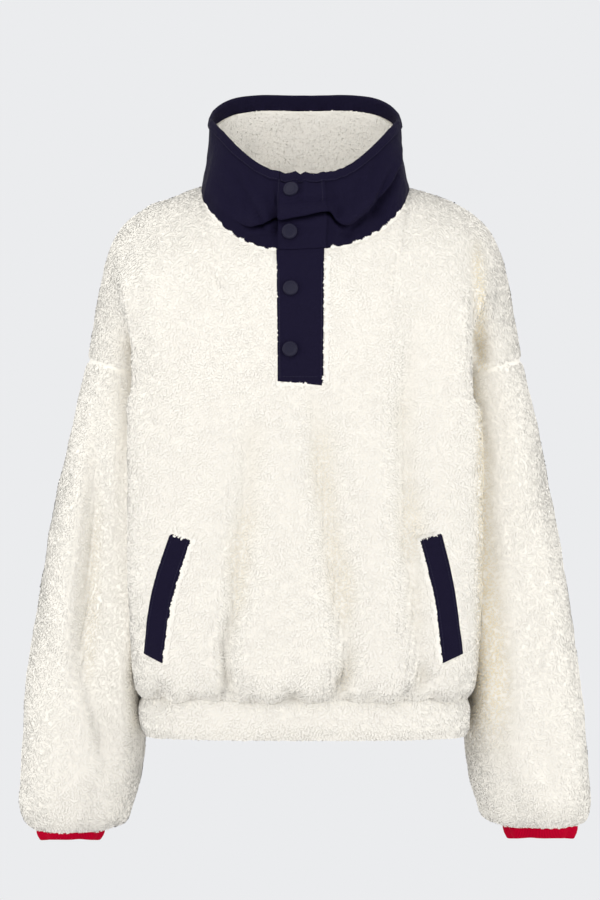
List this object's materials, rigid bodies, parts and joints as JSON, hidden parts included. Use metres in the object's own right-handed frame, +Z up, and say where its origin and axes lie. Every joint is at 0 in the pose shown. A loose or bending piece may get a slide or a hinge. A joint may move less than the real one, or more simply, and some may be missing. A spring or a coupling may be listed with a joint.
{
  "type": "sherpa fleece pullover",
  "caption": "Fleece pullover in its worn, hollow shape: funnel collar in woven nylon, half placket with snaps, drop shoulders, slanted pocket welts, bound cuffs and a gathered hem band.",
  "frame": {"origin": "middle of the neck at shoulder height, where a wearer's shoulders hold the garment", "axes": "+Z up, the front faces -Y, +X is the wearer's left"},
  "size_m": [0.5979, 0.2623, 0.792],
  "materials": {
    "cream_sherpa": "curly sherpa pile",
    "navy_nylon": "matt woven nylon",
    "navy_snap": "satin",
    "red_binding": "knitted binding"
  },
  "bodies": {
    "root": {"front": "cream_sherpa", "back": "cream_sherpa", "sleeve_left": "cream_sherpa", "sleeve_right": "cream_sherpa", "hem_band": "cream_sherpa", "collar_lining": "cream_sherpa", "collar_shell": "navy_nylon", "collar_binding": "navy_nylon", "collar_tab": "navy_nylon", "placket": "navy_nylon", "placket_under": "navy_nylon", "pocket_welt_left": "navy_nylon", "pocket_welt_right": "navy_nylon", "snap_1": "navy_snap", "snap_2": "navy_snap", "snap_3": "navy_snap", "snap_4": "navy_snap", "cuff_left": "red_binding", "cuff_right": "red_binding"}
  },
  "joints": []
}
